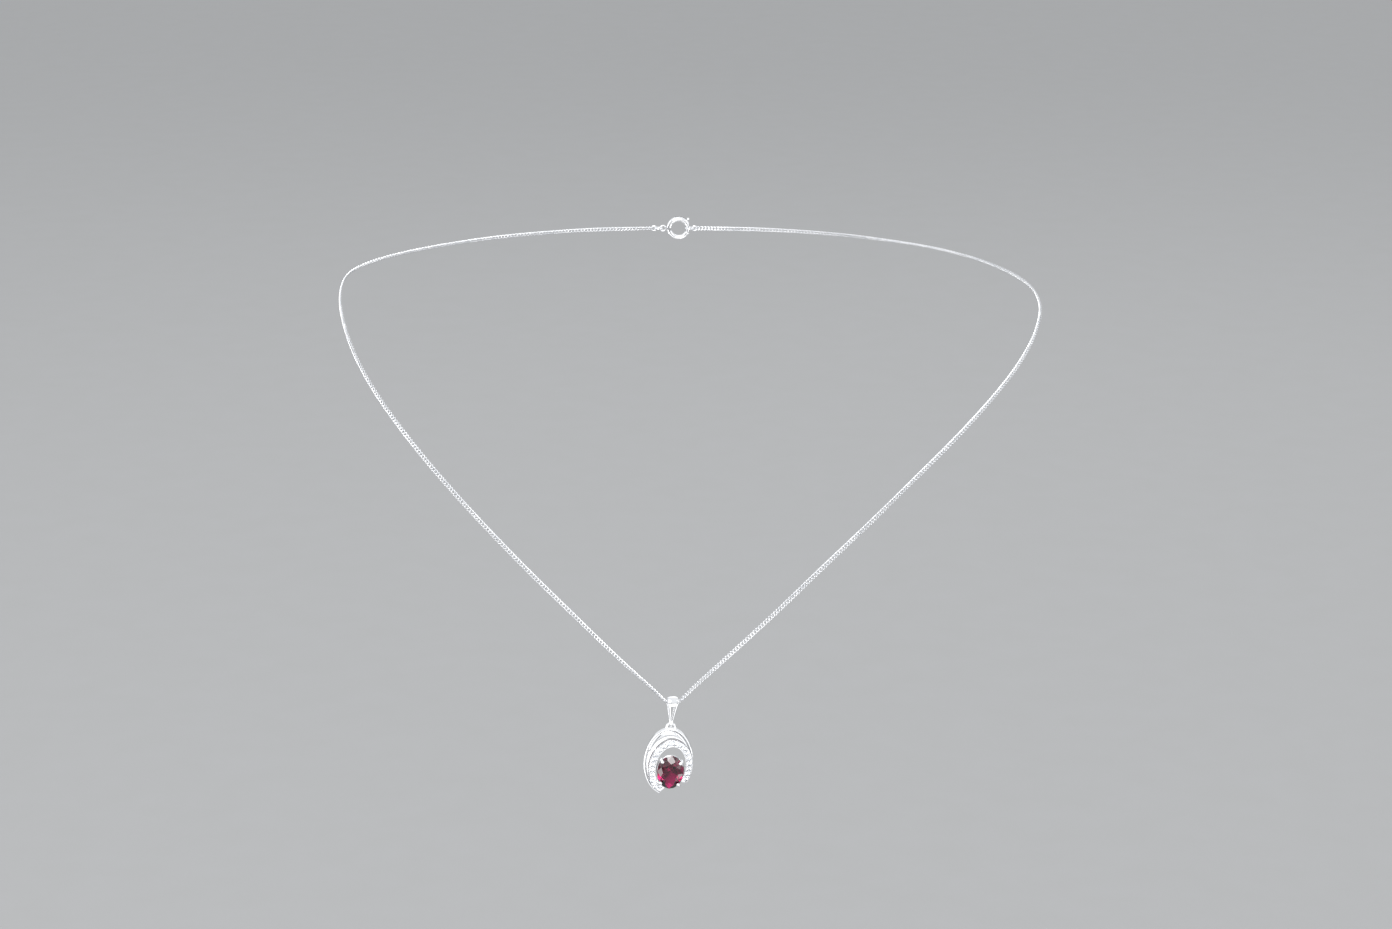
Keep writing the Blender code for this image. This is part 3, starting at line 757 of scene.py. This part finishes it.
def bail_stations():
    """Stations down the front half of the bail: (y, z, and the sheet's normal)."""
    slope = math.asin((BAIL_TOP_RADIUS - BAIL_EYE_RADIUS) / BAIL_LENGTH)
    stations = []
    for angle in spread(math.pi / 2, -slope, 28):
        across, up = math.cos(angle), math.sin(angle)
        stations.append((BAIL_TOP_RADIUS * across, BAIL_TOP_RADIUS * up, across, up))
    across, up = math.cos(-slope), math.sin(-slope)
    top = (BAIL_TOP_RADIUS * across, BAIL_TOP_RADIUS * up)
    foot = (BAIL_EYE_RADIUS * across, BAIL_EYE_RADIUS * up - BAIL_LENGTH)
    for share in spread(0, 1, 26)[1:-1]:
        y, z = (a + (b - a) * share for a, b in zip(top, foot))
        stations.append((y, z, across, up))
    for angle in spread(-slope, -math.pi / 2, 14):
        across, up = math.cos(angle), math.sin(angle)
        stations.append((BAIL_EYE_RADIUS * across, BAIL_EYE_RADIUS * up - BAIL_LENGTH, across, up))
    return stations


def leaning(point):
    """The bail leans: each point moves sideways with its depth below the chain."""
    return point + Vector((BAIL_LEAN * min(1.2, max(0.0, -point.z / BAIL_LENGTH)), 0, 0))


def squared(angle, power):
    """A rounded rectangle's (width share, height share) at this angle."""
    c, s = math.cos(angle), math.sin(angle)
    return math.copysign(abs(c) ** power, c), math.copysign(abs(s) ** power, s)


def softened(obj, width, segments):
    """Rounds the sharp edges a little, for good."""
    step = obj.modifiers.new("soft", "BEVEL")
    step.width = width * MM
    step.segments = segments
    step.limit_method = "ANGLE"
    step.angle_limit = math.radians(45)
    step.use_clamp_overlap = True
    graph = bpy.context.evaluated_depsgraph_get()
    mesh = bpy.data.meshes.new_from_object(obj.evaluated_get(graph))
    obj.modifiers.clear()
    obj.data = mesh
    mesh.shade_smooth()
    mesh.set_sharp_from_angle(angle=math.radians(40))


def make_bail():
    turn = Matrix.Rotation(math.radians(BAIL_TURN), 3, "Z")
    front = bail_stations()
    back = [(-y, z, -across, up) for y, z, across, up in front[-2:0:-1]]
    rings = []
    for y, z, across, up in front + back:
        low = smooth(-BAIL_LENGTH + 1.2, -BAIL_LENGTH, z)
        flare = smooth(-1.1, 0.7, z) * (BAIL_HALF_WIDTH - BAIL_LEG_HALF_WIDTH)
        leg = BAIL_LEG_HALF_WIDTH + BAIL_TAPER * min(0.0, z)
        half = max(BAIL_FOOT_HALF_WIDTH, leg + flare)
        thick = (BAIL_SHEET + (BAIL_EYE_SHEET - BAIL_SHEET) * low) / 2
        ring = []
        for j in range(32):
            share, face = squared(2 * math.pi * (j + 0.5) / 32, 0.42)
            face *= 1.0 if face > 0 else 1.0 - BAIL_PLAY / thick
            dome = BAIL_TOP_DOME * max(0.0, up) * (1 - share * share)
            out, rise = y + across * thick * face, z + up * thick * face + dome
            ring.append(leaning(turn @ Vector((half * share, -out, rise))))
        rings.append(ring)
    bail = solid("bail_sheet", *skin(rings, closed=True), polished, BAIL_HANG)
    window = [[leaning(turn @ Vector((x, y, z))) for x, z in BAIL_WINDOW] for y in (-2, 2)]
    worked(bail, solid("window", *skin(window), polished, BAIL_HANG))
    softened(bail, 0.05, 3)
    finished(bail, "bail", "silver", "bail")


# ---------------------------------------------------------------- the pendant


def from_hub(bearing, reach):
    angle = math.radians(bearing)
    return HUB[0] + reach * math.sin(angle), HUB[1] + reach * math.cos(angle)


def reach_of(point):
    return math.hypot(point[0] - HUB[0], point[1] - HUB[1])


def bearing_of(point):
    return math.degrees(math.atan2(point[0] - HUB[0], point[1] - HUB[1]))


def strip_inner(bearing):
    return ROW.grown(-ROW_HALF_WIDTH).reach(bearing)


def strip_outer(bearing):
    """The strip's outer edge: beside the row of stones, out to the rim below the crescent's end,
    and round the end of the right arm."""
    beside_row = min(ROW.grown(ROW_HALF_WIDTH).reach(bearing), OUTLINE.reach(bearing))
    to_rim = OUTLINE.grown(-RIM_WIDTH).reach(bearing) - FIT
    low = 1 - smooth(-143.0, -125.0, bearing)
    reach = beside_row + (to_rim - beside_row) * low
    end = max(0.0, 1 - (ARM_BEARING - bearing) / ARM_ROUNDING)
    return strip_inner(bearing) + (reach - strip_inner(bearing)) * math.sqrt(max(0.02, 1 - end**2))


def rim_inner(bearing):
    inset = OUTLINE.grown(-RIM_WIDTH).reach(bearing)
    if bearing < 0:
        return inset
    return max(inset, ROW.grown(ROW_HALF_WIDTH).reach(bearing) + FIT)


def crescent_inner(bearing):
    return strip_outer(bearing) + FIT


def crescent_outer(bearing):
    """The slit beside the rim closes towards the top."""
    top = smooth(-75, -40, bearing) * (1 - smooth(0, 22, bearing))
    edge = OUTLINE.grown(-RIM_WIDTH - SLIT + 0.13 * top).reach(bearing)
    return crescent_inner(bearing) + max(0.10, edge - crescent_inner(bearing))


def band(bearings, inner_bearings, inner, outer, section):
    """A band round the hub: section gives (share of the width, depth) points for a bearing."""
    rings = []
    for bearing, inner_bearing in zip(bearings, inner_bearings):
        near, far = from_hub(inner_bearing, inner(inner_bearing)), from_hub(bearing, outer(bearing))
        across, up = far[0] - near[0], far[1] - near[1]
        ring = []
        for share, depth in section(bearing):
            ring.append((near[0] + across * share, depth, near[1] + up * share))
        rings.append(ring)
    return skin(rings)


def pave_places():
    """The small stones' centres and radii: one row from the arm's end round the opening, then
    smaller ones staggered down to the tip."""
    places = []
    angle = 110.0
    while len(places) < PAVE_COUNT + TIP_STONE_COUNT:
        shift, radius = 0.0, PAVE_RADIUS
        if len(places) >= PAVE_COUNT:
            side = 1 if len(places) % 2 else -1
            shift, radius = TIP_STONE_SHIFT + TIP_STONE_STAGGER * side, TIP_STONE_RADIUS
        places.append((*ROW.grown(shift).point(angle), radius))
        pitch = TIP_STONE_PITCH if len(places) > PAVE_COUNT else PAVE_PITCH
        here, step = Vector((*ROW.point(angle), 0)), 0.0
        while (Vector((*ROW.point(angle - step), 0)) - here).length < pitch:
            step += 0.05
        angle -= step
    return places


BODY = LOOP_WIRE_CENTRE + Vector((0, PENDANT_SET_BACK, 0)) * MM


def pendant_piece(name, shape, paint, slot, *nodes, origin=BODY, crease=40.0):
    finished(solid(name, *shape, paint, origin, crease), "pendant", slot, *nodes)


def rim_section(_):
    """A round-edged wire, the same all the way."""
    middle, half = (RIM_FRONT + BACK) / 2, (BACK - RIM_FRONT) / 2
    turns = [squared(2 * math.pi * (j + 0.5) / 28, 0.55) for j in range(28)]
    return [(0.5 + 0.5 * share, middle + half * depth) for share, depth in turns]


def crescent_section(_):
    """Domed, with its inner edge further forward than its outer one, and the same all the way."""
    front = []
    for share in spread(0, 1, 25):
        dome = 0.41 * math.sin(math.pi * share) ** 0.75
        front.append((share, -0.62 - 0.21 * (1 - share) - dome))
    return [(0, 0.1), *front, (1, 0.1)]


def strip_section(bearing):
    """Flat, with a thin raised edge on each side of the stones."""
    width = strip_outer(bearing) - strip_inner(bearing)
    edge, foot = min(0.25, 0.13 / width), min(0.40, 0.20 / width)
    low, high = STRIP_FRONT + 0.04, STRIP_FRONT - 0.05
    front = [(0, high + 0.05), (0.2 * edge, high), (0.8 * edge, high), (foot, low)]
    return [(0, BACK), *front, *[(1 - share, depth) for share, depth in front[::-1]], (1, BACK)]


def make_frame():
    bearings = spread(TIP_BEARING, RIM_END_BEARING, 170)
    rim = band(bearings, bearings, rim_inner, OUTLINE.reach, rim_section)
    pendant_piece("rim_band", rim, polished, "silver", "rim_wire")

    bearings = spread(CRESCENT_FROM, CRESCENT_TO, 150)
    dome = band(bearings, bearings, crescent_inner, crescent_outer, crescent_section)
    pendant_piece("crescent_dome", dome, polished, "silver", "crescent")

    outer = spread(TIP_BEARING, ARM_BEARING, 200)
    inner = spread(TIP_INNER_BEARING, ARM_BEARING, 200)
    plate = band(outer, inner, strip_inner, strip_outer, strip_section)
    strip = solid("strip_plate", *plate, grain_metal, BODY)
    across, up = Vector((1, 0, 0)), Vector((0, 0, 1))
    for x, z, radius in pave_places():
        wide = radius + SEAT_PLAY
        mouth, hole = wide + 0.02, wide / 2
        steps = ((-1.2, mouth), (-0.76, mouth), (-0.70, wide), (-0.43, hole), (1.1, hole))
        seat = skin([circle(Vector((x, y, z)), across, up, r, 28) for y, r in steps])
        worked(strip, solid("seat", *seat, grain_metal, BODY))
    strip.data.set_sharp_from_angle(angle=math.radians(35))
    finished(strip, "pendant", "silver", "pave_strip")


def make_beads():
    """Grains raised between the small stones, which hold them."""
    places = pave_places()
    row, tip = places[:PAVE_COUNT], places[PAVE_COUNT:]
    large, middling, small = (0.17, 0.15, 0.17), (0.13, 0.13, 0.13), (0.11, 0.12, 0.11)
    sunk = STRIP_FRONT - 0.01
    grains = []
    for (x0, z0, _), (x1, z1, _) in zip(row, row[1:]):
        middle = Vector(((x0 + x1) / 2, 0, (z0 + z1) / 2))
        along = Vector((x1 - x0, 0, z1 - z0)).normalized()
        side = Vector((along.z, 0, -along.x))
        for sign in (-1, 1):
            where = middle + side * sign * 0.40
            grains.append(ball((where.x, sunk, where.z), large, 8, 14))
    for (x0, z0, _), (x1, z1, _) in zip([row[-1], *tip], tip):
        grains.append(ball(((x0 + x1) / 2, sunk, (z0 + z1) / 2), middling, 8, 14))
    for x, z, radius in tip:
        for angle in (40, 160, 280):
            where = Oval((x, z), radius + 0.03, radius + 0.03, 0).point(angle)
            if strip_inner(bearing_of(where)) + 0.15 <= reach_of(where):
                grains.append(ball((where[0], STRIP_FRONT, where[1]), small, 8, 14))
    pendant_piece("bead_grains", joined(grains), grain_metal, "silver")


def brilliant(oval, girdle, crown, pavilion, edge, table):
    """A brilliant cut: table, stars, kites and upper facets over a thin girdle, then the lower
    facets and mains down to the point. Depths run towards the back."""
    star, star_height, lower = 0.775, crown * 0.66, 0.30
    front, back = girdle - edge / 2, girdle + edge / 2
    points = [(*oval.point(45 * k, table), front - crown) for k in range(8)]
    points += [(*oval.point(45 * k + 22.5, star), front - star_height) for k in range(8)]
    points += [(*oval.point(22.5 * k, 1.0), front) for k in range(16)]
    points += [(*oval.point(22.5 * k, 1.0), back) for k in range(16)]
    drop = pavilion * (1 - math.cos(math.radians(22.5)) * lower)
    points += [(*oval.point(45 * k + 22.5, lower), back + drop) for k in range(8)]
    points.append((*oval.point(0, 0), back + pavilion))
    top, stars, upper, under, mains, culet = 0, 8, 16, 32, 48, 56
    faces = [tuple(range(8))]
    for k in range(8):
        n, p = (k + 1) % 8, (k - 1) % 8
        g, right, far = 2 * k, 2 * k + 1, (2 * k + 2) % 16
        faces.append((top + k, stars + k, top + n))
        faces.append((top + k, stars + p, upper + g, stars + k))
        faces += [(stars + k, upper + g, upper + right), (stars + k, upper + right, upper + far)]
        faces += [(mains + k, under + right, under + g), (mains + k, under + far, under + right)]
        faces.append((culet, mains + k, under + g, mains + p))
    for g in range(16):
        h = (g + 1) % 16
        faces.append((upper + g, under + g, under + h, upper + h))
    return [(x, y, z) for x, z, y in points], faces


def make_stones():
    red = brilliant(STONE, STONE_GIRDLE, STONE_CROWN, STONE_PAVILION, STONE_EDGE, 0.56)
    pendant_piece("red_oval_stone", red, ruby, "ruby", "centre_stone", crease=1.0)
    for number, (x, z, radius) in enumerate(pave_places(), 1):
        oval = Oval((x, z), radius, radius, 17.0 * number)
        small = brilliant(oval, PAVE_GIRDLE, radius * 0.34, radius * 0.85, 0.04, 0.55)
        name, node = f"small_stone_{number:02d}", f"pave_stone_{number:02d}"
        pendant_piece(name, small, white_stone, "white_stone", node, crease=1.0)


def make_setting():
    rings = []
    for turn in spread(0, 360, 97)[:-1]:
        x, z = RAIL.point(turn)
        out = Vector((x - RAIL.centre[0], 0, z - RAIL.centre[1])).normalized()
        rings.append(circle(Vector((x, RAIL_DEPTH, z)), out, Vector((0, 1, 0)), RAIL_WIRE, 18))
    pendant_piece("rail_ring", skin(rings, closed=True), wire_metal, "silver", "gallery_rail")
    for name, up, right in (
        ("claw_upper_left", 1, -1),
        ("claw_upper_right", 1, 1),
        ("claw_lower_right", -1, 1),
        ("claw_lower_left", -1, -1),
    ):
        path = []
        for reach, depth, _ in CLAW_RISE:
            x, z = STONE.place(up * CLAW_ALONG * reach, right * CLAW_ACROSS * reach)
            path.append((x, depth, z))
        steps = 6
        fine = curve_through(path, steps)
        radii = [radius for _, _, radius in CLAW_RISE]
        thick = []
        for i in range(len(fine)):
            here, after = radii[i // steps], radii[min(i // steps + 1, len(radii) - 1)]
            thick.append(here + (after - here) * (i / steps % 1))
        tip = ball(fine[-1], (CLAW_BALL, CLAW_BALL * 0.86, CLAW_BALL), 16, 28)
        claw = joined([wire_along(fine, thick, 18), tip])
        pendant_piece(name.replace("claw", "claw_wire"), claw, polished, "silver", name)


def make_loop():
    shape = arc_wire((0, 0, -LOOP_RADIUS), LOOP_RADIUS, LOOP_WIRE, "XZ", -42, 222, 72, 22)
    pendant_piece("loop_ring", shape, polished, "silver", "top_loop", origin=LOOP_WIRE_CENTRE)


make_chain()
make_clasp()
make_bail()
make_loop()
make_frame()
make_beads()
make_setting()
make_stones()

# ---------------------------------------------------------------- floor, cards and light

FLOOR_DROP = 0.16
floor_z = cad_box[0][2] - FLOOR_DROP


def flat(name, width, depth, place, aim, paint):
    """A flat rectangle at place that faces aim."""
    mesh = bpy.data.meshes.new(name)
    turns = ((-1, -1), (1, -1), (1, 1), (-1, 1))
    corners = [(width / 2 * x, depth / 2 * y, 0) for x, y in turns]
    mesh.from_pydata(corners, [], [(0, 1, 2, 3)])
    mesh.materials.append(paint)
    obj = bpy.data.objects.new(name, mesh)
    obj.location = place
    obj.rotation_euler = (Vector(aim) - Vector(place)).to_track_quat("Z", "Y").to_euler()
    bpy.context.scene.collection.objects.link(obj)
    return obj


def softbox(name, place, size, power, aim=(0, -0.06, -0.06), on_floor=True):
    """A soft light; one that is only there to be mirrored in the metal leaves the floor alone."""
    data = bpy.data.lights.new(name, "AREA")
    data.shape = "RECTANGLE"
    data.size, data.size_y = size
    data.energy = power
    light = bpy.data.objects.new(name, data)
    light.location = place
    light.rotation_euler = (Vector(aim) - Vector(place)).to_track_quat("-Z", "Y").to_euler()
    light.visible_camera = False
    light.visible_diffuse = on_floor
    bpy.context.scene.collection.objects.link(light)
    return light


def kept_off(light, piece):
    """The light doesn't reach this piece, from whichever side it is seen."""
    group = bpy.data.collections.new(light.name + "_spares")
    group.objects.link(piece)
    group.collection_objects[0].light_linking.link_state = "EXCLUDE"
    light.light_linking.receiver_collection = group


flat("floor", 12, 12, (0, 0, floor_z), (0, 0, 1), pale_ground("pale_floor", 0.42))
black_card = plain("black_card", (0.012, 0.012, 0.014))
for card_name, card_place, card_size in (
    ("card_left", (-0.55, -0.75, 0.02), (0.10, 0.7)),
    ("card_right", (0.50, -0.60, 0.05), (0.10, 0.7)),
    ("card_low", (0.05, -0.70, -0.10), (0.7, 0.05)),
):
    card = flat(card_name, *card_size, card_place, (0, -0.087, -0.10), black_card)
    card.visible_camera = False
    card.visible_diffuse = False
    card.visible_shadow = False

softbox("key", (-0.35, -0.75, 0.95), (0.9, 0.7), 4.2)
softbox("fill", (0.85, -0.65, 0.35), (0.6, 0.8), 1.4)
softbox("left", (-0.95, -0.25, 0.25), (0.5, 0.8), 1.2)
softbox("rear", (0.1, 0.95, 0.75), (1.0, 0.6), 2.0)
PENDANT = (0, -0.087, -0.105)
low_front = softbox("low_front", (-0.04, -0.36, -0.19), (0.40, 0.16), 0.20, PENDANT, False)
kept_off(low_front, bpy.data.objects["red_oval_stone"])
softbox("low_left", (-0.306, -0.223, -0.207), (0.12, 0.16), 0.20, PENDANT, False)
softbox("low_right", (0.306, -0.223, -0.207), (0.12, 0.16), 0.20, PENDANT, False)
softbox("low_bail", (0.067, -0.239, -0.204), (0.10, 0.09), 0.036, (0, -0.088, -0.092), False)
softbox("crown", (-0.05, -0.62, 0.27), (0.40, 0.20), 1.60, PENDANT, False)

world = bpy.data.worlds.new("studio")
world.use_nodes = True
world.node_tree.nodes["Background"].inputs["Color"].default_value = (0.92, 0.94, 0.96, 1)
world.node_tree.nodes["Background"].inputs["Strength"].default_value = 1.0
bpy.context.scene.world = world
bpy.context.scene.view_settings.view_transform = "Standard"
